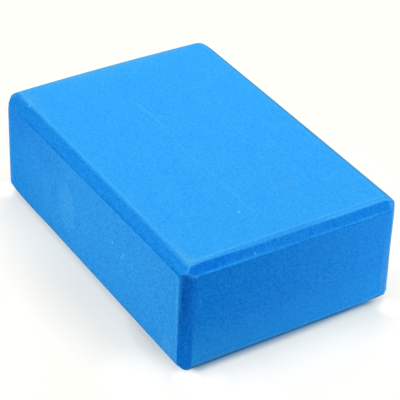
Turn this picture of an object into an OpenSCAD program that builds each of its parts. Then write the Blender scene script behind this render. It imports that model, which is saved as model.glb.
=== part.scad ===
// Foam exercise block: one solid of closed-cell EVA foam.
// It is sawn from thick sheet, and then all twelve edges are planed to a flat bevel.
// The origin is at the centre of the base. X is the length, Y the width and Z the height.
// All sizes are in millimetres.

/* [Block] */
// Length along X
block_l = 228.6; // [150:0.1:305]
// Width along Y
block_w = 152.4; // [100:0.1:203]
// Height along Z
block_h = 76.2; // [50:0.1:102]

/* [Bevels round the top] */
// How far a bevel reaches in over the top face
top_reach = 6.4; // [3:0.1:10]
// The same for the bevel over the right end, at +X, which is planed wider
right_reach = 7.2; // [3:0.1:10]
// Drop of the front long bevel down its side, at its -X end and at its +X end
front_drop = [5.3, 3.1]; // [2:0.1:8]
// Drop of the back long bevel, at its -X end and at its +X end
back_drop = [4.7, 3.2]; // [2:0.1:8]
// Drop of the bevel over the left end, at -X
left_drop = 3.7; // [2:0.1:8]
// Drop of the bevel over the right end, at +X
right_drop = 4.0; // [2:0.1:8]

/* [Bevels round the base] */
// How far a bevel reaches in under the base
base_reach = 6.4; // [3:0.1:10]
// Rise of the front long bevel up its side, at its -X end and at its +X end
front_rise = [6.7, 7.6]; // [2:0.1:9]
// Rise of the back long bevel, at its -X end and at its +X end
back_rise = [6.7, 6.7]; // [2:0.1:9]
// Rise of the bevels up the two ends
end_rise = 8.0; // [2:0.1:9]

/* [Upright bevels] */
// How far an upright bevel reaches along each of its two sides
upright_reach = 6.4; // [3:0.1:10]

/* [Softened lines] */
// Radius at which the top face turns over into its bevels
crest_r = 4; // [2:0.5:8]
// The same over the right end, where the turn is sharper
right_crest_r = 1.6; // [1:0.1:8]
// Radius at which the base turns over into its bevels
base_crest_r = 5; // [2:0.5:8]
// Flat strips that make up that turn, the bevel itself among them
crest_strips = 4; // [2:1:6]
// Depth rubbed off the line where two bevels meet at a corner
hip_rub = 0.6; // [0:0.1:1]
// Depth rubbed off the tip where that line meets the upright bevel
tip_rub = 0.7; // [0:0.1:1]

/* [Hidden] */
foam_blue = [0.16, 0.58, 0.96];
half_l = block_l / 2;
half_w = block_w / 2;
// Side of the cube that takes off one cut, longer than any edge
saw = 2 * block_l;

// Takes off all that lies past a plane, given by a point on it and the way that it faces.
module planed_off(point, facing) {
    tilt = acos(facing.z / norm(facing));
    turn = atan2(facing.y, facing.x);
    translate(point)
        rotate([0, tilt, turn])
            translate([-saw / 2, -saw / 2, 0])
                cube(saw);
}

// The cuts along one edge of a flat face that looks up (up = 1) or down (up = -1). The edge runs
// along X, as long as run, at y = -side. Each strip touches one crest circle, of the given
// radius, so the face turns over softly into the last strip, which is the bevel. Where the bevel
// drops further at one end than at the other, one more cut takes it down from the crest there.
module edge_bevel(side, run, face_z, up, reach, radius, drops) {
    slope = atan(min(drops) / reach);
    crest_y = -side + reach + radius * tan(slope / 2);
    crest_z = face_z - up * radius;
    for (strip = [1 : crest_strips]) {
        turned = slope * strip / crest_strips;
        planed_off([0, crest_y - radius * sin(turned), crest_z + up * radius * cos(turned)],
                   [0, -sin(turned), up * cos(turned)]);
    }
    deeper = drops[0] - drops[1];
    if (deeper != 0)
        planed_off([-sign(deeper) * run / 2, -side + reach, face_z],
                   [-deeper * reach, -max(drops) * run, up * run * reach]);
}

// The cuts along all four edges of a flat face. The long bevels' drops are at -X and at +X. The
// bevel over the right end has a reach and a crest radius of its own.
module face_bevels(face_z, up, reach, radius, right_reach, right_radius, front, back, left, right) {
    edge_bevel(half_w, block_l, face_z, up, reach, radius, front);
    rotate([0, 0, 90])
        edge_bevel(half_l, block_w, face_z, up, right_reach, right_radius, [right, right]);
    rotate([0, 0, 180])
        edge_bevel(half_w, block_l, face_z, up, reach, radius, [back[1], back[0]]);
    rotate([0, 0, 270])
        edge_bevel(half_l, block_w, face_z, up, reach, radius, [left, left]);
}

// The cut along an upright edge, on the given sides of the block.
module upright_bevel(side_x, side_y) {
    planed_off([side_x * (half_l - upright_reach / 2), side_y * (half_w - upright_reach / 2), 0],
               [side_x, side_y, 0]);
}

// The light rubs at one corner of a flat face: one along the line where its two bevels meet, and
// one at the tip of that line. Each bevel is given by how far it reaches in and how far it drops.
module corner_rubbed(side_x, side_y, face_z, up, end_reach, end_drop, long_reach, long_drop) {
    hip = [side_x * end_drop / end_reach, side_y * long_drop / long_reach, 2 * up];
    crest_corner = [side_x * (half_l - end_reach), side_y * (half_w - long_reach), face_z];
    planed_off(crest_corner - hip_rub * hip / norm(hip), hip);
    tip = [side_x, side_y, up];
    at_end = end_drop * (1 - upright_reach / end_reach / 2);
    at_side = long_drop * (1 - upright_reach / long_reach / 2);
    tip_point = [side_x * (half_l - upright_reach / 2), side_y * (half_w - upright_reach / 2),
                 face_z - up * (at_end + at_side) / 2];
    planed_off(tip_point - tip_rub * tip / norm(tip), tip);
}

// Both ends of one long side, given the drops of its bevels at -X and at +X.
module side_corners(side_y, top_drops, base_rises) {
    for (i = [0, 1]) {
        side_x = 2 * i - 1;
        upright_bevel(side_x, side_y);
        corner_rubbed(side_x, side_y, block_h, 1, [top_reach, right_reach][i],
                      [left_drop, right_drop][i], top_reach, top_drops[i]);
        corner_rubbed(side_x, side_y, 0, -1, base_reach, end_rise, base_reach, base_rises[i]);
    }
}

module foam_block() {
    color(foam_blue)
        difference() {
            translate([-half_l, -half_w, 0])
                cube([block_l, block_w, block_h]);
            face_bevels(block_h, 1, top_reach, crest_r, right_reach, right_crest_r,
                        front_drop, back_drop, left_drop, right_drop);
            face_bevels(0, -1, base_reach, base_crest_r, base_reach, base_crest_r,
                        front_rise, back_rise, end_rise, end_rise);
            side_corners(-1, front_drop, front_rise);
            side_corners(1, back_drop, back_rise);
        }
}

foam_block();
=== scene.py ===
import math

import bmesh
import bpy
from mathutils import Matrix, Vector, kdtree, noise


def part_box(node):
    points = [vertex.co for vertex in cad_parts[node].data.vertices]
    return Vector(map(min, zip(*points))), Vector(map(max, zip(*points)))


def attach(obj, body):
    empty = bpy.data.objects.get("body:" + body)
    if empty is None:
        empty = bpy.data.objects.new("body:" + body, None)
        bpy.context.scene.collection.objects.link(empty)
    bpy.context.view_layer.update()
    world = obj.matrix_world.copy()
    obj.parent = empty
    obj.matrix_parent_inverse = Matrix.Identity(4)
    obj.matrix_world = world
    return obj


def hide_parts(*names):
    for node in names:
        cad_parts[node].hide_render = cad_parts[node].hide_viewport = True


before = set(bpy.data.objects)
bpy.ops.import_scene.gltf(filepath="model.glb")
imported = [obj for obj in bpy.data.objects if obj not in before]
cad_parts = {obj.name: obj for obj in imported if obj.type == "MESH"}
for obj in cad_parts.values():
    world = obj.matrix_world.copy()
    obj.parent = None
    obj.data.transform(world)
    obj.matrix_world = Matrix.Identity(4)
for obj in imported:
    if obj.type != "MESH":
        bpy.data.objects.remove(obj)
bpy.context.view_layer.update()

MM = 0.001

# ---- The block's own sizes, in metres ----

HALF_L, HALF_W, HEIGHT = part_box("foam_block")[1]

# How far a bevel reaches in over the top or under the base, and along a side beside an upright edge.
# The one over the right end, at +X, is planed wider
REACH = 6.4 * MM
RIGHT_REACH = 7.2 * MM
# How far the bevels round the top drop down their sides, and those round the base rise up them
TOP_DROP = 4.2 * MM
RIGHT_DROP = 4.0 * MM
END_RISE = 7.9 * MM
SIDE_RISE = 6.7 * MM

# A flat face turns over softly into its bevels, and more sharply over the right end
CREST_RADIUS = 4.0 * MM
RIGHT_CREST_RADIUS = 1.6 * MM
CREST_STRIPS = 6
# A bevel ends in a small rounded crease
CREASE_RADIUS = 0.8 * MM
CREASE_STRIPS = 3
# Depth rubbed off the line where two bevels meet at a corner
CORNER_RUB = 0.6 * MM

# Turns about Z that bring the front edge to each side of the block
FRONT = 0.0
RIGHT_END = math.pi / 2
BACK = math.pi
LEFT_END = -math.pi / 2

# A vertex this close to a cut counts as on it
CUT_MARGIN = 1e-7

# Spacing of the lines that divide the planed block into small faces
GRID = 1.5 * MM

# How hand planing leaves a crease out of line: its side, its height, 1 for a top bevel or -1 for a base
# bevel, and how many millimetres it slides towards the side's middle height, at that side's left end,
# middle and right end, as seen from outside
STRAYED_CREASES = (
    (FRONT, HEIGHT - TOP_DROP, 1, (1.1, 0.0, -1.1)),
    (BACK, HEIGHT - TOP_DROP, 1, (-1.0, -0.8, 0.0)),
    (LEFT_END, HEIGHT - TOP_DROP, 1, (0.3, -1.0, -0.2)),
    (RIGHT_END, HEIGHT - RIGHT_DROP, 1, (-1.0, -0.2, 0.1)),
    (FRONT, SIDE_RISE, -1, (0.0, 0.0, 0.9)),
    (RIGHT_END, END_RISE, -1, (0.4, 0.0, 0.2)),
)
# How far past a strayed crease its side follows it
STRAY_FADE = 12 * MM

# Where an edge is out of true: place, spread and move along X, Y and Z, in millimetres
OUT_OF_TRUE = (
    # The far end of the right base edge is cut higher
    ((114.3, 68.2, 7.9), (8, 16, 9), (0, 0, 0.9)),
    ((110.3, 66.2, 0), (12, 22, 9), (0, 0, 1.6)),
    # The upright edge above it stands a little prouder
    ((107.9, 76.2, 16), (7, 7, 22), (0.6, 0, 0)),
    ((107.9, 76.2, 5), (6, 6, 6), (0.5, 0, 0)),
    # So does the near left upright edge, and the front base edge dips beside it
    ((-107.9, -76.2, 36), (8, 8, 60), (-0.3, 0, 0)),
    ((-78.3, -76.2, 6.7), (34, 8, 10), (0, 0, -0.7)),
    ((-109.3, -75.2, 6.7), (10, 8, 8), (0, 0, 1.1)),
)
# A nick in the far upright edge, in the same terms
NICK = ((114.3, 69.8, 38), (2.2, 3, 2), (-0.9, -0.5, 0))

# The corners are worn round: how far in the wear is centred, how far it reaches and how often it passes.
# It reaches less at the near left top corner and at the far right base corner
WEAR_INSET = 2 * MM
TOP_WEAR = 11 * MM
NEAR_LEFT_TOP_WEAR = 9 * MM
TOP_WEAR_PASSES = 10
BASE_WEAR = 9 * MM
FAR_RIGHT_BASE_WEAR = 5 * MM
BASE_WEAR_PASSES = 8

# How far the sawn faces wander, and over what length
FACE_WAVER = 0.10 * MM
WAVER_LENGTH = 28 * MM

# An edge between faces is shaded sharp from this turn on
SHARP_TURN = math.radians(14)

# How far from a crease its distance is noted
CREASE_REACH = 20 * MM

# Finishes: a sawn face, a bevel round the top or base, and an upright bevel that crosses the foam's grain
SAWN = 0.0
BEVEL = 1.0
UPRIGHT = 2.0


# ---- Planing the block ----

def planed_off(mesh, point, facing, finish):
    """Cuts off all that lies past a plane, and closes the cut with one face of that finish."""
    everything = mesh.verts[:] + mesh.edges[:] + mesh.faces[:]
    cut = bmesh.ops.bisect_plane(mesh, geom=everything, dist=CUT_MARGIN, plane_co=point,
                                 plane_no=facing, clear_outer=True)
    rim = [e for e in cut["geom_cut"] if isinstance(e, bmesh.types.BMEdge)]
    if len(rim) < 3:
        return
    made = bmesh.ops.contextual_create(mesh, geom=rim)
    layer = mesh.faces.layers.float["planed"]
    for face in made["faces"]:
        face[layer] = finish


def edge_bevel(mesh, turn, face_z, up, drop, reach=REACH, crest_radius=CREST_RADIUS):
    """Planes one edge of a flat face.

    Narrow strips touch the crest circle, the last of them is the bevel, and more touch the crease circle.
    """
    side = HALF_L if turn in (LEFT_END, RIGHT_END) else HALF_W
    slope = math.atan2(drop, reach)
    spin = Matrix.Rotation(turn, 3, "Z")
    crest = Vector((0, -side + reach + crest_radius * math.tan(slope / 2), face_z - up * crest_radius))
    crease_turn = math.pi / 2 - slope
    crease = Vector((0, -side + CREASE_RADIUS,
                     face_z - up * (drop + CREASE_RADIUS * math.tan(crease_turn / 2))))
    for strip in range(1, CREST_STRIPS + 1):
        share = strip / CREST_STRIPS
        out = Vector((0, -math.sin(slope * share), up * math.cos(slope * share)))
        planed_off(mesh, spin @ (crest + crest_radius * out), spin @ out, share * BEVEL)
    for strip in range(1, CREASE_STRIPS):
        angle = slope + crease_turn * strip / CREASE_STRIPS
        out = Vector((0, -math.sin(angle), up * math.cos(angle)))
        planed_off(mesh, spin @ (crease + CREASE_RADIUS * out), spin @ out, BEVEL)


def upright_bevel(mesh, side_x, side_y):
    """Planes one upright edge."""
    corner = Vector((side_x * (HALF_L - REACH / 2), side_y * (HALF_W - REACH / 2), 0))
    planed_off(mesh, corner, Vector((side_x, side_y, 0)), UPRIGHT)


def corner_rubbed(mesh, side_x, side_y, face_z, up, drop):
    """Rubs the line where two bevels of a flat face meet."""
    facing = Vector((side_x * drop, side_y * drop, 2 * up * REACH)).normalized()
    corner = Vector((side_x * (HALF_L - REACH), side_y * (HALF_W - REACH), face_z))
    planed_off(mesh, corner - CORNER_RUB * facing, facing, 0.5 * BEVEL)


def divided(mesh, axis, low, high):
    """Divides the block with evenly spaced cuts square to one axis."""
    count = round((high - low) / GRID)
    normal = Vector((0, 0, 0))
    normal[axis] = 1
    for step in range(1, count):
        point = Vector((0, 0, 0))
        point[axis] = low + (high - low) * step / count
        everything = mesh.verts[:] + mesh.edges[:] + mesh.faces[:]
        bmesh.ops.bisect_plane(mesh, geom=everything, dist=CUT_MARGIN, plane_co=point, plane_no=normal)


# ---- What hand work and handling leave ----

def crease_slid(mesh, turn, line_z, up, slides):
    """Slides one bevel's outer line along its side's height, by three amounts, and the bevel follows."""
    first, middle, last = (slide * MM for slide in slides)
    side, run = (HALF_L, HALF_W) if turn in (LEFT_END, RIGHT_END) else (HALF_W, HALF_L)
    unspin = Matrix.Rotation(-turn, 3, "Z")
    for vert in mesh.verts:
        place = unspin @ vert.co
        out = min(max((-place.y - side + REACH) / REACH, 0), 1)
        past = up * (line_z - vert.co.z)
        share = out * (1 if past < 0 else max(1 - past / STRAY_FADE, 0))
        along_run = place.x / run
        amount = middle + (last - first) / 2 * along_run
        amount += ((first + last) / 2 - middle) * along_run * along_run
        vert.co.z -= up * amount * share


def pressed(mesh, place, spread, move):
    """Moves the surface round a place, fading out over its spread along X, Y and Z."""
    place, spread, move = (Vector(value) * MM for value in (place, spread, move))
    for vert in mesh.verts:
        away = vert.co - place
        far = math.sqrt(sum((away[axis] / spread[axis]) ** 2 for axis in range(3)))
        if far < 1:
            vert.co += move * (1 - far * far) ** 2


def softened(mesh, place, reach, passes):
    """Wears a corner round. Each pass smooths a little less of it than the one before."""
    for step in range(passes):
        near = [v for v in mesh.verts if (v.co - place).length < reach * (1 - 0.5 * step / passes)]
        bmesh.ops.smooth_vert(mesh, verts=near, factor=0.5, use_axis_x=True, use_axis_y=True,
                              use_axis_z=True)


def wandered(mesh):
    """Lets the sawn faces wander a little inwards, and leaves the base flat where it stands."""
    mesh.normal_update()
    moves = []
    for vert in mesh.verts:
        if vert.co.z < SIDE_RISE / 2:
            continue
        wave = noise.noise(vert.co / WAVER_LENGTH)
        moves.append((vert, -vert.normal * FACE_WAVER * (0.5 + 0.5 * wave)))
    for vert, move in moves:
        vert.co += move


def creases_marked(mesh):
    """Notes how far each point lies from the nearest crease, where a sawn side meets a bevel.

    Off the sawn sides, on the bevels and on the top and the base, the distance has a minus sign.
    """
    finish = mesh.faces.layers.float["planed"]
    crease = mesh.verts.layers.float.new("crease")
    rim = set()
    for edge in mesh.edges:
        if sorted(face[finish] for face in edge.link_faces) == [SAWN, BEVEL]:
            rim.update(edge.verts)
    tree = kdtree.KDTree(len(rim))
    for index, vert in enumerate(rim):
        tree.insert(vert.co, index)
    tree.balance()
    for vert in mesh.verts:
        sawn_side = any(face[finish] == SAWN and abs(face.normal.z) < 0.5 for face in vert.link_faces)
        vert[crease] = (1 if sawn_side else -1) * min(tree.find(vert.co)[2], CREASE_REACH)


def planed(mesh):
    """Saws the block and planes its twelve edges."""
    bmesh.ops.create_cube(mesh, size=1)
    bmesh.ops.scale(mesh, vec=(2 * HALF_L, 2 * HALF_W, HEIGHT), verts=mesh.verts)
    bmesh.ops.translate(mesh, vec=(0, 0, HEIGHT / 2), verts=mesh.verts)
    for turn in (FRONT, RIGHT_END, BACK, LEFT_END):
        if turn == RIGHT_END:
            edge_bevel(mesh, turn, HEIGHT, 1, RIGHT_DROP, RIGHT_REACH, RIGHT_CREST_RADIUS)
        else:
            edge_bevel(mesh, turn, HEIGHT, 1, TOP_DROP)
        edge_bevel(mesh, turn, 0, -1, END_RISE if turn in (LEFT_END, RIGHT_END) else SIDE_RISE)
    for side_x in (-1, 1):
        for side_y in (-1, 1):
            upright_bevel(mesh, side_x, side_y)
            corner_rubbed(mesh, side_x, side_y, HEIGHT, 1, TOP_DROP)
            corner_rubbed(mesh, side_x, side_y, 0, -1, (END_RISE + SIDE_RISE) / 2)


def corners_worn(mesh):
    """Wears the eight corners round."""
    for side_x in (-1, 1):
        for side_y in (-1, 1):
            side = (side_x, side_y)
            top_reach = NEAR_LEFT_TOP_WEAR if side == (-1, -1) else TOP_WEAR
            base_reach = FAR_RIGHT_BASE_WEAR if side == (1, 1) else BASE_WEAR
            corner = Vector((side_x * (HALF_L - WEAR_INSET), side_y * (HALF_W - WEAR_INSET), 0))
            softened(mesh, corner + Vector((0, 0, HEIGHT - WEAR_INSET)), top_reach, TOP_WEAR_PASSES)
            softened(mesh, corner + Vector((0, 0, WEAR_INSET)), base_reach, BASE_WEAR_PASSES)


def make_block():
    """The planed block, divided finely enough to carry what hand work and handling have left."""
    mesh = bmesh.new()
    mesh.faces.layers.float.new("planed")
    planed(mesh)
    divided(mesh, 0, -HALF_L, HALF_L)
    divided(mesh, 1, -HALF_W, HALF_W)
    divided(mesh, 2, 0, HEIGHT)
    for strayed in STRAYED_CREASES:
        crease_slid(mesh, *strayed)
    for place in OUT_OF_TRUE:
        pressed(mesh, *place)
    corners_worn(mesh)
    pressed(mesh, *NICK)
    wandered(mesh)
    creases_marked(mesh)
    bmesh.ops.recalc_face_normals(mesh, faces=mesh.faces)
    for face in mesh.faces:
        face.smooth = True
    for edge in mesh.edges:
        edge.smooth = edge.calc_face_angle(0) < SHARP_TURN
    data = bpy.data.meshes.new("planed_block")
    mesh.to_mesh(data)
    mesh.free()
    block = bpy.data.objects.new("planed_block", data)
    bpy.context.scene.collection.objects.link(block)
    return block


# ---- Finish ----

# The foam where it is sawn: painted shade makes the right end deeper high up, most towards the front, and
# painted light makes it paler low down; painted shade makes the left part of the front deep
SAWN_BLUE = (0.037, 0.388, 0.930, 1)
END_HIGH_SHADE_BLUE = (0.008, 0.315, 0.905, 1)
END_LOW_LIGHT_BLUE = (0.037, 0.450, 1.000, 1)
DEEP_SHADE_BLUE = (0.000, 0.325, 0.960, 1)
# The foam where it is planed, with painted shade and painted light on some of its parts
# Painted shade on the strip where the top face turns over into its bevels
STRIP_SHADE_BLUE = (0.032, 0.341, 0.864, 1)
FRONT_BEVEL_BLUE = (0.0145, 0.278, 0.795, 1)
RIGHT_BEVEL_BLUE = (0.010, 0.262, 0.800, 1)
# Painted shade on the right bevel towards the front
RIGHT_NEAR_BEVEL_SHADE_BLUE = (0.000, 0.210, 0.750, 1)
BACK_BEVEL_BLUE = (0.045, 0.310, 0.620, 1)
# Painted shade on the base bevels, near the floor
BASE_BEVEL_SHADE_BLUE = (0.065, 0.300, 0.600, 1)
# Painted light low on the uprights, painted shade higher up, and painted light on the far right upright
UPRIGHT_LOW_LIGHT_BLUE = (0.007, 0.250, 0.820, 1)
UPRIGHT_HIGH_SHADE_BLUE = (0.002, 0.195, 0.700, 1)
RIGHT_FAR_UPRIGHT_LIGHT_BLUE = (0.110, 0.460, 0.760, 1)
# Wear and marks, with painted highlight and painted shade along some lines and patches
# Wear, and painted highlight along the crests and the hip
RUBBED_AND_SHEEN_BLUE = (0.100, 0.500, 1.000, 1)
SPECK_BLUE = (0.220, 0.720, 1.000, 1)
# Wear and painted highlight along the upper creases
CREASE_WEAR_AND_SHEEN_BLUE = (0.036, 0.420, 1.000, 1)
# Painted highlight along the lower creases of the ends, and painted light beside the back uprights
RIM_LIGHT_BLUE = (0.150, 0.510, 0.930, 1)
# Bruises, and painted shade down the uprights
BRUISED_AND_SHADE_BLUE = (0.000, 0.140, 0.610, 1)
# Painted shade along the front creases
CREASE_SHADE_BLUE = (0.000, 0.205, 0.750, 1)
# Painted shade high on the left part of the front
DUSKY_SHADE_BLUE = (0.000, 0.200, 0.850, 1)
WORN_BLUE = (0.085, 0.410, 0.790, 1)
GREY_SMUDGE = (0.080, 0.260, 0.560, 1)

FOAM_ROUGHNESS = 0.65
FOAM_SHINE = 0.04

# Sizes of the foam's grain, of the finer grain that sawing adds to the sides, and of broader patches
GRAIN_SIZE = 1.5 * MM
SIDE_GRAIN_SIZE = 1.15 * MM
MOTTLE_SIZE = 9 * MM
WEAR_SIZE = 16 * MM
# What the lightest grain adds to each colour
GRAIN_TINT = (0.0125, 0.044, 0.045)
# How strong the side grain and the mottle are beside the grain. The ends were sawn smoother
SIDE_GRAIN = 1.95
END_SMOOTHER = 0.95
MOTTLE = 0.15
BUMP_STRENGTH = 0.35
BUMP_DEPTH = 0.05 * MM

# The flat part of the top face ends in a line of wear and painted highlight, with a soft strip of painted
# shade between it and the bevel.
# How far in from the right end and from the front each line lies, and its radius round the near corner
RUBBED_SHEEN_LINE = (11.0 * MM, 8.8 * MM, 5 * MM)
BEVEL_LINE = (7.1 * MM, 6.7 * MM, 3 * MM)

# The bevels over the back and the left end are dark this far in from their creases, and then carry a line
# of wear and painted highlight
BACK_DARK = 3.6 * MM
BACK_SHEEN_LINE = 6.5 * MM

# How strongly each line shows: wear, painted highlight and painted shade
CREST_WEAR_AND_SHEEN = 0.55
CREASE_WEAR_AND_SHEEN = 0.62
RIM_LIGHT_STRENGTH = 0.70
UPRIGHT_WEAR = 0.55
CREASE_SHADE_STRENGTH = 0.58
FOOT_SHADE_STRENGTH = 0.65
SCRATCH_WEAR = 0.52
DENT_DARKNESS = 0.10

# One long scratch along the top face, by points from left to right: how far along the length each is,
# how far across, both in millimetres, and how strong the scratch is there
SCRATCH = ((-59.0, -7.5, 1.0), (-36.4, -6.3, 0.9), (-13.3, -8.2, 0.35), (9.7, -9.0, 0.75),
           (26.7, -7.9, 0.4), (52.7, -7.7, 0.5), (72.9, -7.9, 0.35), (83.8, -7.2, 0.3))
SCRATCH_WIDTH = 1.1 * MM
# Its path is drawn as a curve whose values from 0 to 1 span this many millimetres
SCRATCH_SPAN = 40
DENT_OFFSET = 1.7 * MM

# Marks, in millimetres: place, half size along X, Y and Z, and strength
PALE_SPECKS = (
    ((75.2, -15.2, 76.0), (1.1, 1.1, 2.0), 0.9),
    ((-89.8, -69.5, 75.5), (1.0, 1.0, 2.0), 1.0),
    ((112.0, -27.6, 74.2), (1.6, 1.0, 1.6), 0.4),
    ((44.6, -76.2, 46.2), (1.3, 2.0, 1.5), 0.85),
    ((42.6, -76.2, 43.4), (1.3, 2.0, 1.5), 0.8),
    ((31.0, -76.2, 47.2), (1.4, 2.0, 1.8), 0.45),
    ((114.3, -65.4, 55.1), (2.0, 0.9, 0.9), 0.40),
    ((114.3, -47.9, 20.8), (2.0, 0.9, 0.9), 0.35),
)
PALE_AND_HIGHLIGHT_PATCHES = (
    # The first two, over the near corner's hip, are pale foam with painted highlight
    ((111.8, -70.6, 73.4), (2.8, 2.2, 3.0), 0.30),
    ((113.4, -68.2, 72.6), (2.0, 2.6, 2.0), 0.25),
    ((97.5, -76.2, 12.0), (12.5, 4.0, 18.0), 0.40),
    ((111.5, 71.0, 73.0), (4.0, 3.6, 5.0), 0.60),
    ((-110.0, 0.0, 76.2), (24.0, 90.0, 4.0), 0.12),
)
# Pale and even, with an edge
PALE_OVALS = (
    ((-27.8, -76.2, 38.0), (12.5, 4.0, 19.5), 0.27),
)
WORN_PATCHES = (
    ((102.0, -65.8, 76.2), (7.0, 5.5, 4.0), 0.80),
    ((92.0, -65.8, 76.2), (18.0, 3.8, 4.0), 0.50),
    ((103.8, -57.0, 76.2), (3.4, 14.0, 4.0), 0.45),
    ((64.6, 27.1, 76.2), (5.5, 5.5, 4.0), 0.30),
    ((-98.0, -66.0, 76.2), (26.0, 6.5, 4.0), 0.48),
    ((-112.5, 0.0, 76.2), (13.0, 110.0, 8.0), 0.90),
)
DARK_DOTS = (
    ((-50.9, -35.4, 76.0), (0.9, 0.9, 2.0), 0.5),
    ((24.8, 54.0, 76.0), (0.9, 0.9, 2.0), 0.5),
    ((15.6, -76.2, 26.9), (0.9, 2.0, 0.9), 0.5),
)
DARK_PATCHES = (
    ((104.5, 71.5, 76.0), (2.4, 2.4, 2.0), 0.50),
    ((114.3, -46.0, 69.0), (4.0, 6.0, 3.5), 0.08),
    ((114.3, -34.0, 52.0), (4.0, 6.0, 5.0), 0.08),
    ((114.3, -6.0, 32.0), (4.0, 7.0, 5.0), 0.08),
)
# Painted shade over the left part of the front
DEEP_SHADE_PATCHES = (
    ((-116.0, -76.0, 40.0), (75.0, 10.0, 95.0), 0.50),
)
# Painted shade high on the left part of the front, along its crease
DUSKY_SHADE_PATCHES = (
    ((-93.0, -76.2, 68.0), (34.0, 6.0, 24.0), 0.28),
    ((-62.0, -76.2, 62.0), (40.0, 6.0, 18.0), 0.22),
    ((-46.0, -76.2, 44.0), (9.0, 6.0, 26.0), 0.12),
)
GREY_SPOTS = (
    ((64.6, 27.1, 76.0), (2.6, 2.6, 2.0), 0.30),
)


def calc(tree, operation, *values):
    """A sum on one or two values, each a number or another node's output."""
    node = tree.nodes.new("ShaderNodeMath")
    node.operation = operation
    for socket, value in zip(node.inputs, values):
        if isinstance(value, (int, float)):
            socket.default_value = value
        else:
            tree.links.new(value, socket)
    return node.outputs[0]


def product(tree, first, *others):
    """All the values multiplied together."""
    for value in others:
        first = calc(tree, "MULTIPLY", first, value)
    return first


def total(tree, first, *others):
    """All the values added together."""
    for value in others:
        first = calc(tree, "ADD", first, value)
    return first


def most(tree, first, *others):
    """The largest of the values."""
    for value in others:
        first = calc(tree, "MAXIMUM", first, value)
    return first


def less(tree, value):
    """What is left of 1."""
    return calc(tree, "SUBTRACT", 1, value)


def eased(tree, value, low, high):
    """Rises smoothly from 0 to 1 as the value goes from low to high."""
    node = tree.nodes.new("ShaderNodeMapRange")
    node.interpolation_type = "SMOOTHSTEP"
    node.inputs["From Min"].default_value = low
    node.inputs["From Max"].default_value = high
    tree.links.new(value, node.inputs["Value"])
    return node.outputs["Result"]


def line(tree, distance, middle, half_width):
    """1 along a line at some distance, and 0 beyond its half width."""
    away = calc(tree, "ABSOLUTE", calc(tree, "SUBTRACT", distance, middle))
    return less(tree, eased(tree, calc(tree, "DIVIDE", away, half_width), 0, 1))


def dyed(tree, base, blue, share):
    """Lays one colour over another, by a share that may vary."""
    node = tree.nodes.new("ShaderNodeMix")
    node.data_type = "RGBA"
    for socket, value in ((node.inputs[6], base), (node.inputs[7], blue), (node.inputs["Factor"], share)):
        if isinstance(value, (int, float, tuple)):
            socket.default_value = value
        else:
            tree.links.new(value, socket)
    return node.outputs[2]


def layered(tree, colour, *layers):
    """Lays colours over the first one in turn, each by its own share."""
    for blue, share in layers:
        colour = dyed(tree, colour, blue, share)
    return colour


def speckle(tree, place, size, detail=1.0):
    """Soft random patches of one size, mostly between -1 and 1."""
    node = tree.nodes.new("ShaderNodeTexNoise")
    node.inputs["Scale"].default_value = 1 / size
    node.inputs["Detail"].default_value = detail
    tree.links.new(place, node.inputs["Vector"])
    return calc(tree, "MULTIPLY", calc(tree, "SUBTRACT", node.outputs["Fac"], 0.5), 4)


def along(tree, place):
    """The three coordinates of a place, one by one."""
    node = tree.nodes.new("ShaderNodeSeparateXYZ")
    tree.links.new(place, node.inputs[0])
    return node.outputs


def noted(tree, name):
    """A value that was noted on the mesh."""
    node = tree.nodes.new("ShaderNodeAttribute")
    node.attribute_name = name
    return node.outputs["Fac"]


class Places:
    """Where a point lies on the block, as values that a finish can be made of."""

    def __init__(self, tree):
        self.place = tree.nodes.new("ShaderNodeTexCoord").outputs["Object"]
        self.x, self.y, self.z = along(tree, self.place)
        # Below zero along the front and back, above zero along the ends, and zero at the corners
        end_depth = calc(tree, "SUBTRACT", HALF_L, calc(tree, "ABSOLUTE", self.x))
        side_depth = calc(tree, "SUBTRACT", HALF_W, calc(tree, "ABSOLUTE", self.y))
        self.turn = calc(tree, "SUBTRACT", side_depth, end_depth)
        self.depth = calc(tree, "MINIMUM", side_depth, end_depth)
        # Distance from the nearest crease, with a minus sign on the bevels and the top face
        self.crease = noted(tree, "crease")
        self.sawn_side = eased(tree, self.crease, -0.2 * MM, 0.2 * MM)
        self.past_crease = less(tree, eased(tree, self.crease, -0.3 * MM, 0.5 * MM))
        self.on_upright = eased(tree, noted(tree, "planed"), 1.1, 1.5)
        # Each of these is 1 in its own part of the block
        self.upper = eased(tree, self.z, HEIGHT / 2, HEIGHT / 2 + 10 * MM)
        self.on_top = eased(tree, self.z, HEIGHT - 3 * MM, HEIGHT - 2 * MM)
        self.right = eased(tree, self.x, 0, 20 * MM)
        self.front = less(tree, eased(tree, self.y, -20 * MM, 0))
        self.back = eased(tree, self.y, 0, 20 * MM)
        # 1 at the front and 0 at the back, evenly between them
        self.near = less(tree, eased(tree, self.y, -HALF_W, HALF_W))


def corner_distance(tree, at, from_end, from_front, radius):
    """Distance outwards from a line along the right end and the front, rounded at their corner."""
    over_end = calc(tree, "SUBTRACT", at.x, HALF_L - from_end - radius)
    over_front = calc(tree, "SUBTRACT", -HALF_W + from_front + radius, at.y)
    outside = [calc(tree, "MAXIMUM", value, 0) for value in (over_end, over_front)]
    squares = [product(tree, value, value) for value in outside]
    inside = calc(tree, "MINIMUM", most(tree, over_end, over_front), 0)
    far = total(tree, calc(tree, "SQRT", total(tree, *squares)), inside)
    return calc(tree, "SUBTRACT", far, radius)


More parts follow.
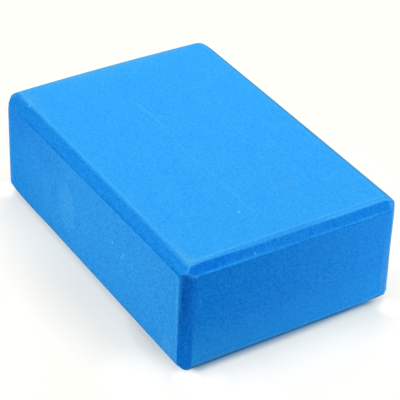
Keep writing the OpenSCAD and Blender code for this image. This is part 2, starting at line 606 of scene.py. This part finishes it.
def spots(tree, place, marks, core=0.2):
    """All marks of one kind, as one share. Each fades out from its core, a part of its size."""
    share = 0.0
    for middle, size, strength in marks:
        node = tree.nodes.new("ShaderNodeMapping")
        node.vector_type = "POINT"
        node.inputs["Scale"].default_value = [1 / (half * MM) for half in size]
        node.inputs["Location"].default_value = [-spot_at / half for spot_at, half in zip(middle, size)]
        tree.links.new(place, node.inputs["Vector"])
        length = tree.nodes.new("ShaderNodeVectorMath")
        length.operation = "LENGTH"
        tree.links.new(node.outputs[0], length.inputs[0])
        spot = less(tree, eased(tree, length.outputs["Value"], core, 1))
        share = calc(tree, "MAXIMUM", product(tree, spot, strength), share)
    return share


def drawn(tree, share, points):
    """A value along a smooth curve through points. Each is a share of the way and a value, 0 to 1."""
    node = tree.nodes.new("ShaderNodeFloatCurve")
    handles = node.mapping.curves[0].points
    while len(handles) < len(points):
        handles.new(0.5, 0.5)
    for handle, point in zip(handles, points):
        handle.location = point
    node.mapping.update()
    tree.links.new(share, node.inputs["Value"])
    return node.outputs["Value"]


def scratch(tree, at):
    """The scratch on the top face, which wavers and fades, and the dent beside its first part."""
    low, high = SCRATCH[0][0] * MM, SCRATCH[-1][0] * MM
    reached = [(point[0] * MM - low) / (high - low) for point in SCRATCH]
    share = calc(tree, "DIVIDE", calc(tree, "SUBTRACT", at.x, low), high - low)
    path = [(part, 0.5 + point[1] / SCRATCH_SPAN) for part, point in zip(reached, SCRATCH)]
    strengths = [(part, point[2]) for part, point in zip(reached, SCRATCH)]
    middle = calc(tree, "SUBTRACT", drawn(tree, share, path), 0.5)
    across = calc(tree, "SUBTRACT", at.y, product(tree, middle, SCRATCH_SPAN * MM))
    inside = product(tree, eased(tree, share, -0.02, 0.01), less(tree, eased(tree, share, 0.98, 1.02)),
                     at.on_top)
    mark = product(tree, line(tree, across, 0, SCRATCH_WIDTH), drawn(tree, share, strengths), inside)
    dent = product(tree, line(tree, across, DENT_OFFSET, SCRATCH_WIDTH), inside,
                   less(tree, eased(tree, share, 0.12, 0.30)))
    return mark, dent


def sawn_colours(tree, at):
    """The sawn faces, with painted shade making the right end a little deeper high up, most towards the
    front, and painted light making it paler low down.
    """
    side = most(tree, at.sawn_side, at.on_upright)
    on_end = product(tree, side, eased(tree, at.x, HALF_L - 2 * MM, HALF_L - 1 * MM))
    # Painted shade on the right end, growing towards the front and up its height, and painted light low
    # down
    front_shade = total(tree, 0.2, product(tree, at.near, 0.8))
    high = product(tree, on_end, front_shade, eased(tree, at.z, 0, 55 * MM))
    low = product(tree, on_end, less(tree, eased(tree, at.z, 0, 40 * MM)))
    return layered(tree, SAWN_BLUE, (END_HIGH_SHADE_BLUE, high), (END_LOW_LIGHT_BLUE, low))


def hip_line(tree, at, bevel):
    """The pale line of painted highlight where the front bevel meets those of the ends, and at.turn
    leaning as it leans.
    """
    lean = most(tree, calc(tree, "SUBTRACT", 6.5 * MM, at.depth), 0)
    turn = total(tree, at.turn, product(tree, lean, 0.35))
    hip = product(tree, line(tree, turn, -0.1 * MM, 2.0 * MM), at.front,
                  eased(tree, bevel, -3.5 * MM, -1.5 * MM))
    return hip, turn


def bevel_begun(tree, at, bevel, at_right, near_end, fading):
    """1 once the dark of the front or right bevel has begun, which strays a little from its line."""
    near_front = product(tree, less(tree, at_right), eased(tree, at.x, 82 * MM, 98 * MM))
    past_middle = product(tree, at_right, eased(tree, at.y, -46 * MM, -28 * MM))
    later = total(tree, product(tree, fading, 0.3 * MM), product(tree, near_front, 0.9 * MM),
                  product(tree, past_middle, 0.45 * MM), product(tree, near_end, -0.8 * MM))
    # The right one begins more sharply towards the back
    softness = less(tree, product(tree, at_right, fading, 0.75))
    past = calc(tree, "DIVIDE", calc(tree, "SUBTRACT", bevel, later), softness)
    return eased(tree, past, -0.8 * MM, 0.7 * MM)


def top_bevel_colours(tree, at, colour):
    """The bevels round the top, with the strip of painted shade above those that show, and the share of
    crest that is worn and carries painted highlight.
    """
    on_bevel = product(tree, at.past_crease, at.upper, less(tree, at.on_upright))
    strip = corner_distance(tree, at, *RUBBED_SHEEN_LINE)
    bevel = corner_distance(tree, at, *BEVEL_LINE)
    hip, turn = hip_line(tree, at, bevel)
    at_right = eased(tree, turn, -0.5 * MM, 0.5 * MM)
    near_end = product(tree, at_right, less(tree, eased(tree, at.y, -62 * MM, -30 * MM)))
    # The strip of painted shade fades towards the back
    fading = product(tree, eased(tree, at.y, 5 * MM, 45 * MM), 0.75)
    strip_shade = product(tree, on_bevel, less(tree, fading), eased(tree, strip, -0.3 * MM, 0.9 * MM))
    # Painted shade: the right bevel is darker towards the front, and there most of all in its upper part
    lower_part = product(tree, eased(tree, bevel, 2.0 * MM, 6.0 * MM), less(tree, near_end))
    nearer_shade = product(tree, at_right, less(tree, eased(tree, at.y, -62 * MM, 0)), less(tree, lower_part))
    blue = layered(tree, FRONT_BEVEL_BLUE, (RIGHT_BEVEL_BLUE, at_right), (RIGHT_NEAR_BEVEL_SHADE_BLUE, nearer_shade))
    begun = product(tree, on_bevel, less(tree, product(tree, hip, 0.85)),
                    bevel_begun(tree, at, bevel, at_right, near_end, fading))
    # Distance in from the left end and from the back
    from_back = calc(tree, "MINIMUM", total(tree, at.x, HALF_L), calc(tree, "SUBTRACT", HALF_W, at.y))
    back = product(tree, on_bevel, less(tree, begun),
                   less(tree, eased(tree, from_back, BACK_DARK - 2 * MM, BACK_DARK + 2 * MM)))
    colour = layered(tree, colour, (STRIP_SHADE_BLUE, strip_shade), (blue, begun), (BACK_BEVEL_BLUE, back))
    # A second line of wear and painted highlight shows where the strip has faded
    crest = most(tree, line(tree, strip, -0.1 * MM, 1.4 * MM),
                 product(tree, line(tree, from_back, BACK_SHEEN_LINE, 3 * MM), less(tree, begun), 0.25),
                 product(tree, line(tree, bevel, -0.8 * MM, 1.4 * MM), fading, 1.6))
    return colour, most(tree, product(tree, crest, at.on_top), product(tree, hip, on_bevel, 0.6))


def base_bevel_colours(tree, at, colour):
    """The bevels round the base, greyed by painted shade near the floor."""
    return dyed(tree, colour, BASE_BEVEL_SHADE_BLUE, product(tree, at.past_crease, less(tree, at.upper)))


def upright_colours(tree, at, colour):
    """The upright bevels, darker partly as planed foam and partly by painted shade, most high up, with
    painted light low down and on the far right one. The one at the near corner fades into its sides as
    painted shading of a rounded edge, and most near the top.
    """
    high = product(tree, eased(tree, at.z, 20 * MM, 62 * MM), at.front)
    end_fade = total(tree, 0.7 * MM, product(tree, high, 2.8 * MM))
    side_fade = total(tree, 0.7 * MM, product(tree, eased(tree, at.z, 26 * MM, 60 * MM), 3.0 * MM))
    past_side = calc(tree, "DIVIDE", total(tree, at.turn, REACH), side_fade)
    past_end = calc(tree, "DIVIDE", calc(tree, "SUBTRACT", at.turn, REACH), end_fade)
    between = product(tree, eased(tree, past_side, -0.5, 1.0), less(tree, eased(tree, past_end, -1, 1)))
    beside = product(tree, at.sawn_side, eased(tree, at.turn, REACH - 1 * MM, REACH))
    # Painted shade runs down its middle, wider towards the top
    shade_width = total(tree, 3.0 * MM, product(tree, high, 2.6 * MM))
    shade_line = product(tree, line(tree, at.turn, -1.1 * MM, shade_width),
                     eased(tree, at.z, 14 * MM, 62 * MM), 0.72)
    blue = layered(tree, UPRIGHT_LOW_LIGHT_BLUE, (UPRIGHT_HIGH_SHADE_BLUE, eased(tree, at.z, 8 * MM, 58 * MM)),
                   (BRUISED_AND_SHADE_BLUE, shade_line), (RIGHT_FAR_UPRIGHT_LIGHT_BLUE, product(tree, at.right, at.back)))
    return dyed(tree, colour, blue, product(tree, most(tree, at.on_upright, beside), between))


def patched(tree, at, colour):
    """Broad patches where the foam is bruised, pale or worn, and broad painted shade, deep and dusky,
    over the left part of the front.
    """
    return layered(
        tree, colour,
        (BRUISED_AND_SHADE_BLUE, spots(tree, at.place, DARK_PATCHES)),
        (DEEP_SHADE_BLUE, product(tree, spots(tree, at.place, DEEP_SHADE_PATCHES), at.sawn_side)),
        (DUSKY_SHADE_BLUE, product(tree, spots(tree, at.place, DUSKY_SHADE_PATCHES), at.sawn_side)),
        (RUBBED_AND_SHEEN_BLUE, spots(tree, at.place, PALE_AND_HIGHLIGHT_PATCHES)),
        (RUBBED_AND_SHEEN_BLUE, spots(tree, at.place, PALE_OVALS, 0.7)),
        (WORN_BLUE, spots(tree, at.place, WORN_PATCHES)))


def worn_and_painted_lines(tree, at, colour, crest):
    """Wear and painted highlight along the crests, the upper creases and the upright edges, painted light
    along the lower creases of the ends, painted shade along the front creases, and the scratch on the
    top.
    """
    at_end = eased(tree, at.turn, 0.5 * MM, 2.0 * MM)
    at_side = less(tree, eased(tree, at.turn, -7.0 * MM, -5.0 * MM))
    lower = less(tree, at.upper)
    # Wear and painted highlight along the upper creases: above them at the ends, and below them on the
    # long sides
    end_crease = total(tree, at.crease, product(tree, at.near, 0.3 * MM))
    end_line = product(tree, line(tree, end_crease, -1.1 * MM, 1.5 * MM), at_end)
    side_line = product(tree, line(tree, at.crease, 1.2 * MM, 1.3 * MM), at_side, at.right)
    pale = product(tree, total(tree, end_line, side_line), at.upper)
    # Painted highlight along the lower creases of the ends, and painted light beside their back upright
    # edges
    base_line = product(tree, line(tree, at.crease, 0.9 * MM, 1.3 * MM), at_end, lower)
    far_line = product(tree, line(tree, at.turn, 7.8 * MM, 3.9 * MM), at.sawn_side, at.back,
                       less(tree, product(tree, eased(tree, at.z, 45 * MM, 66 * MM), 0.7)), 0.75)
    upright_line = product(tree, line(tree, at.turn, -8.2 * MM, 1.6 * MM), at.sawn_side)
    # Painted shade along the front creases. The upper dark line climbs on to its bevel towards the right
    strayed = total(tree, at.crease, product(tree, eased(tree, at.x, -40 * MM, 70 * MM), 0.9 * MM))
    dark = product(tree, line(tree, strayed, 0.1 * MM, 1.5 * MM), at_side, at.upper, at.front,
                   eased(tree, at.x, -100 * MM, -70 * MM))
    foot_shade = product(tree, line(tree, at.crease, 0.3 * MM, 1.7 * MM), at_side, lower, at.front)
    patchiness = total(tree, 0.75, product(tree, speckle(tree, at.place, WEAR_SIZE, 2.0), 0.35))
    scratched, dent = scratch(tree, at)
    return layered(
        tree, colour,
        (RUBBED_AND_SHEEN_BLUE, product(tree, crest, patchiness, CREST_WEAR_AND_SHEEN)),
        (CREASE_WEAR_AND_SHEEN_BLUE, product(tree, pale, patchiness, CREASE_WEAR_AND_SHEEN)),
        (RIM_LIGHT_BLUE, product(tree, most(tree, base_line, far_line), patchiness, RIM_LIGHT_STRENGTH)),
        (RUBBED_AND_SHEEN_BLUE, product(tree, upright_line, patchiness, UPRIGHT_WEAR)),
        (CREASE_SHADE_BLUE, product(tree, dark, CREASE_SHADE_STRENGTH)),
        (BASE_BEVEL_SHADE_BLUE, product(tree, foot_shade, FOOT_SHADE_STRENGTH)),
        (RUBBED_AND_SHEEN_BLUE, product(tree, scratched, SCRATCH_WEAR)),
        (BRUISED_AND_SHADE_BLUE, product(tree, dent, DENT_DARKNESS)))


def specked(tree, at, colour):
    """Small marks that lie over everything else."""
    return layered(
        tree, colour,
        (SPECK_BLUE, spots(tree, at.place, PALE_SPECKS)),
        (BRUISED_AND_SHADE_BLUE, spots(tree, at.place, DARK_DOTS)),
        (GREY_SMUDGE, spots(tree, at.place, GREY_SPOTS)))


def grained(tree, at, colour, grain):
    """Lightens and darkens a colour by the foam's grain, and keeps it from falling below black."""
    side_grain = speckle(tree, at.place, SIDE_GRAIN_SIZE)
    at_end = eased(tree, at.turn, -1 * MM, 1 * MM)
    rough = calc(tree, "SUBTRACT", SIDE_GRAIN, product(tree, at_end, END_SMOOTHER))
    shade = total(tree, grain, product(tree, speckle(tree, at.place, MOTTLE_SIZE), MOTTLE),
                  product(tree, side_grain, at.sawn_side, rough))
    tint = tree.nodes.new("ShaderNodeVectorMath")
    tint.operation = "MULTIPLY_ADD"
    tint.inputs[1].default_value = GRAIN_TINT
    tree.links.new(shade, tint.inputs[0])
    tree.links.new(colour, tint.inputs[2])
    kept = tree.nodes.new("ShaderNodeVectorMath")
    kept.operation = "MAXIMUM"
    kept.inputs[1].default_value = (0, 0, 0)
    tree.links.new(tint.outputs["Vector"], kept.inputs[0])
    return kept.outputs["Vector"]


def foam_finish():
    material = bpy.data.materials.new("foam")
    material.use_nodes = True
    tree = material.node_tree
    shader = tree.nodes["Principled BSDF"]
    shader.inputs["Roughness"].default_value = FOAM_ROUGHNESS
    shader.inputs["Specular IOR Level"].default_value = FOAM_SHINE
    at = Places(tree)
    colour, crest = top_bevel_colours(tree, at, sawn_colours(tree, at))
    colour = base_bevel_colours(tree, at, colour)
    colour = upright_colours(tree, at, colour)
    colour = patched(tree, at, colour)
    colour = worn_and_painted_lines(tree, at, colour, crest)
    colour = specked(tree, at, colour)
    grain = speckle(tree, at.place, GRAIN_SIZE)
    tree.links.new(grained(tree, at, colour, grain), shader.inputs["Base Color"])
    bump = tree.nodes.new("ShaderNodeBump")
    bump.inputs["Strength"].default_value = BUMP_STRENGTH
    bump.inputs["Distance"].default_value = BUMP_DEPTH
    tree.links.new(grain, bump.inputs["Height"])
    tree.links.new(bump.outputs["Normal"], shader.inputs["Normal"])
    return material


# ---- Stage, light and camera ----

# The way that the camera looks, how steeply down, its turn about its own axis, how far it stands from
# the point that it aims at, in metres, and its lens
AZIMUTH = math.radians(57.054)
ELEVATION = math.radians(34.895)
ROLL = math.radians(2.289)
AIM = Vector((0.00422, 0.00285, 0.03524))
DISTANCE = 1.09965
LENS = 155.18

# The colour of the even light from all round
SURROUND_BLUE = (0.10, 0.187, 0.285)
# The lamps, of which the cards throw light on one side each: name, place and size in metres, watts and
# colour. They all face one point
LAMPS = (
    ("overhead", (0, 0, 1.5), 1.2, 15.0, (0.84, 1.0, 0.965)),
    ("behind", (-0.55, 0.45, 0.75), 0.6, 3.18, (1.0, 0.966, 0.775)),
    ("left_card", (0.02, -0.36, 0.05), 0.2, 0.348, (0.92, 1.0, 0.93)),
    ("right_card", (0.28, 0.22, 0.04), 0.15, 0.244, (0.36, 0.70, 1.0)),
)
LAMP_AIM = Vector((0, 0, 0.03))

# How far the floor reaches each way, in metres
FLOOR_REACH = 6.0
# The floor's paper, for the light that it throws back and for the camera
PAPER = (0.80, 0.80, 0.80, 1)
PAPER_SEEN = (0.66, 0.46, 0.34, 1)
# What lifts the paper for the camera: everywhere, most beside the right end as painted light, and least
# in deeper shadow
PAPER_LIFT = (0.53, 0.57, 0.60, 1)
PAPER_LIFT_NEAR_LIGHT = (0.66, 0.69, 0.70, 1)
PAPER_LIFT_DIM = (0.41, 0.45, 0.48, 1)
# What is left of the lift in the shade under the overhang of the right end's base bevel
SHADE_BLUE = (0.0, 0.12, 0.28, 1)
# How far out that shade reaches at the front, and how much less at the back
SHADE_REACH = 8 * MM
SHADE_NARROWING = 3.5 * MM
BLACK = (0, 0, 0, 1)
WHITE = (1, 1, 1, 1)

# Parts of the paper, in the same terms as the marks. Painted light on the paper beside the right end:
NEAR_PAPER_LIGHT = (
    ((150.0, -70.0, 0.0), (80.0, 70.0, 50.0), 1.0),
    ((150.0, 20.0, 0.0), (60.0, 120.0, 50.0), 0.45),
)
# The deeper shadow in front of the block:
DIM_PAPER = (
    ((15.0, -98.0, 0.0), (88.0, 30.0, 50.0), 0.60),
    ((72.0, -77.0, 0.0), (36.0, 9.0, 50.0), 0.80),
)
# Painted light that takes shade off the paper beside three corners of the base and beside the right end:
PAINTED_LIGHT_PAPER = (
    ((114.0, -72.0, 0.0), (13.0, 11.0, 50.0), 0.9),
    ((-112.0, -78.0, 0.0), (13.0, 10.0, 50.0), 0.45),
    ((118.0, 72.0, 0.0), (12.0, 11.0, 50.0), 0.5),
    ((97.0, -98.0, 0.0), (32.0, 28.0, 50.0), 0.22),
    ((124.0, -62.0, 0.0), (11.0, 16.0, 50.0), 0.25),
    ((133.0, 0.0, 0.0), (24.0, 80.0, 50.0), 0.12),
)


def place_camera():
    data = bpy.data.cameras.new("camera")
    data.sensor_width = 36
    data.lens = LENS
    camera = bpy.data.objects.new("camera", data)
    turn = (Matrix.Rotation(AZIMUTH, 4, "Z") @ Matrix.Rotation(math.pi / 2 - ELEVATION, 4, "X")
            @ Matrix.Rotation(ROLL, 4, "Z"))
    back = turn.to_3x3() @ Vector((0, 0, 1))
    camera.matrix_world = Matrix.Translation(AIM + DISTANCE * back) @ turn
    bpy.context.scene.collection.objects.link(camera)
    bpy.context.scene.camera = camera


def floor():
    mesh = bmesh.new()
    bmesh.ops.create_grid(mesh, x_segments=1, y_segments=1, size=FLOOR_REACH)
    data = bpy.data.meshes.new("floor")
    mesh.to_mesh(data)
    mesh.free()
    plane = bpy.data.objects.new("floor", data)
    bpy.context.scene.collection.objects.link(plane)
    data.materials.append(pale_floor())


def seen_plain(tree):
    """1 for what the camera, a gloss or clear glass sees, and 0 for the light that falls on things."""
    path = tree.nodes.new("ShaderNodeLightPath")
    return most(tree, path.outputs["Is Camera Ray"], path.outputs["Is Glossy Ray"],
                path.outputs["Is Transmission Ray"])


def end_shade(tree, place):
    """The shade under the overhang of the right end's base bevel, narrower towards the back."""
    across, back, _ = along(tree, place)
    narrowing = product(tree, eased(tree, back, 0, 60 * MM), SHADE_NARROWING)
    reach = calc(tree, "SUBTRACT", SHADE_REACH, narrowing)
    away = calc(tree, "DIVIDE", calc(tree, "SUBTRACT", across, HALF_L - REACH), reach)
    return product(tree, less(tree, eased(tree, away, -0.24, 0.75)),
                   eased(tree, across, HALF_L - 14 * MM, HALF_L - 6 * MM),
                   eased(tree, back, -HALF_W + 3 * MM, -HALF_W + 16 * MM),
                   less(tree, eased(tree, back, 61 * MM, 73 * MM)))


def pale_floor():
    """White paper. The camera sees it paler than it is, so that it is white wherever no shadow falls."""
    material = bpy.data.materials.new("pale_floor")
    material.use_nodes = True
    tree = material.node_tree
    shader = tree.nodes["Principled BSDF"]
    shader.inputs["Roughness"].default_value = 1.0
    shader.inputs["Specular IOR Level"].default_value = 0.0
    shader.inputs["Emission Strength"].default_value = 1.0
    place = tree.nodes.new("ShaderNodeTexCoord").outputs["Object"]
    lift = layered(
        tree, PAPER_LIFT,
        (PAPER_LIFT_NEAR_LIGHT, spots(tree, place, NEAR_PAPER_LIGHT)),
        (SHADE_BLUE, end_shade(tree, place)),
        (PAPER_LIFT_DIM, spots(tree, place, DIM_PAPER)),
        (WHITE, spots(tree, place, PAINTED_LIGHT_PAPER)))
    seen = seen_plain(tree)
    tree.links.new(dyed(tree, PAPER, PAPER_SEEN, seen), shader.inputs["Base Color"])
    tree.links.new(dyed(tree, BLACK, lift, seen), shader.inputs["Emission Color"])
    return material


def lamp(name, place, size, watts, colour):
    """A square soft lamp that faces the block and isn't seen itself."""
    data = bpy.data.lights.new(name, "AREA")
    data.shape = "SQUARE"
    data.size = size
    data.energy = watts
    data.color = colour
    light = bpy.data.objects.new(name, data)
    light.visible_camera = False
    direction = LAMP_AIM - Vector(place)
    light.matrix_world = (Matrix.Translation(place)
                          @ direction.to_track_quat("-Z", "Y").to_matrix().to_4x4())
    bpy.context.scene.collection.objects.link(light)


def surround(colour):
    """Even light from all round. The camera itself sees plain white."""
    world = bpy.data.worlds.new("surround")
    world.use_nodes = True
    tree = world.node_tree
    shown = dyed(tree, (*colour, 1), WHITE, seen_plain(tree))
    tree.links.new(shown, tree.nodes["Background"].inputs["Color"])
    bpy.context.scene.world = world


bpy.context.scene.view_settings.view_transform = "Standard"
place_camera()
floor()
surround(SURROUND_BLUE)
for settings in LAMPS:
    lamp(*settings)

block = make_block()
block.data.materials.append(foam_finish())
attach(block, "root")
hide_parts("foam_block")
